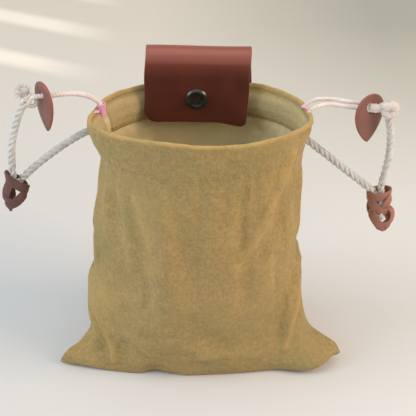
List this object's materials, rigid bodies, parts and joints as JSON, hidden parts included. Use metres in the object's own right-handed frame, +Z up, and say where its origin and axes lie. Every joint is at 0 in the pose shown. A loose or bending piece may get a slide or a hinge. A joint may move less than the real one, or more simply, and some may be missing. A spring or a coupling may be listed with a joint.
{
  "type": "treat pouch",
  "caption": "Canvas drawstring pouch with a snap-closing leather belt loop at the back, rope handles with leaf-shaped leather toggles and woven leather knots at both sides.",
  "frame": {"origin": "on the surface the pouch stands on, at the centre of the pouch's outline without its rope loops", "axes": "+Z up, +X to the right and -Y towards the viewer, who looks at the front panel"},
  "size_m": [0.2985, 0.118, 0.2384],
  "materials": {
    "canvas": "woven cotton canvas, khaki",
    "canvas_inside": "inside of the canvas, olive",
    "holder_leather": "smooth oiled leather, dark red brown",
    "trim_leather": "matt leather, dusty red brown",
    "cotton_rope": "twisted cotton, natural",
    "thread": "sewing thread, pink",
    "snap_metal": "blackened metal, glossy",
    "rivet_brass": "antique brass"
  },
  "bodies": {
    "bag": {"front_panel": "canvas", "back_panel": "canvas", "front_hem": "canvas_inside", "back_hem": "canvas_inside", "left_side_seam": "canvas_inside", "right_side_seam": "canvas_inside", "bottom_seam": "canvas_inside", "holder_back": "holder_leather", "holder_rivets": "rivet_brass", "rivet_washers": "rivet_brass", "snap_stud": "snap_metal", "snap_post": "snap_metal", "front_drawstring": "cotton_rope", "back_drawstring": "cotton_rope", "left_exit_stitching": "thread", "right_exit_stitching": "thread", "left_outer_stitching": "thread", "right_outer_stitching": "thread"},
    "flap": {"holder_flap": "holder_leather", "snap_cap": "snap_metal", "snap_socket": "snap_metal"},
    "left_loop": {"left_front_string": "cotton_rope", "left_rear_string": "cotton_rope", "left_knot": "cotton_rope", "left_upper_rope": "cotton_rope", "left_lower_rope": "cotton_rope", "left_tassel": "trim_leather"},
    "right_loop": {"right_front_string": "cotton_rope", "right_rear_string": "cotton_rope", "right_knot": "cotton_rope", "right_upper_rope": "cotton_rope", "right_lower_rope": "cotton_rope", "right_tassel": "trim_leather"},
    "left_toggle": {"left_leaf": "trim_leather"},
    "right_toggle": {"right_leaf": "trim_leather"}
  },
  "joints": [
    {"name": "flap_fold", "type": "hinge", "parent": "bag", "child": "flap", "pos_m": [0, 0.0372, 0.2275], "axis": [-1, 0, 0], "range_deg": [0, 150]},
    {"name": "left_swing", "type": "hinge", "parent": "bag", "child": "left_loop", "pos_m": [-0.0765, 0.0185, 0.2], "axis": [0, 0, 1], "range_deg": [-45, 30]},
    {"name": "right_swing", "type": "hinge", "parent": "bag", "child": "right_loop", "pos_m": [0.0765, 0.0185, 0.2], "axis": [0, 0, 1], "range_deg": [-30, 45]},
    {"name": "left_leaf_slide", "type": "slide", "parent": "left_loop", "child": "left_toggle", "axis": [0.9832, 0.1819, -0.0147], "range_m": [-0.002, 0.012]},
    {"name": "right_leaf_slide", "type": "slide", "parent": "right_loop", "child": "right_toggle", "axis": [-0.9839, 0.1536, 0.0912], "range_m": [0, 0.016]}
  ]
}
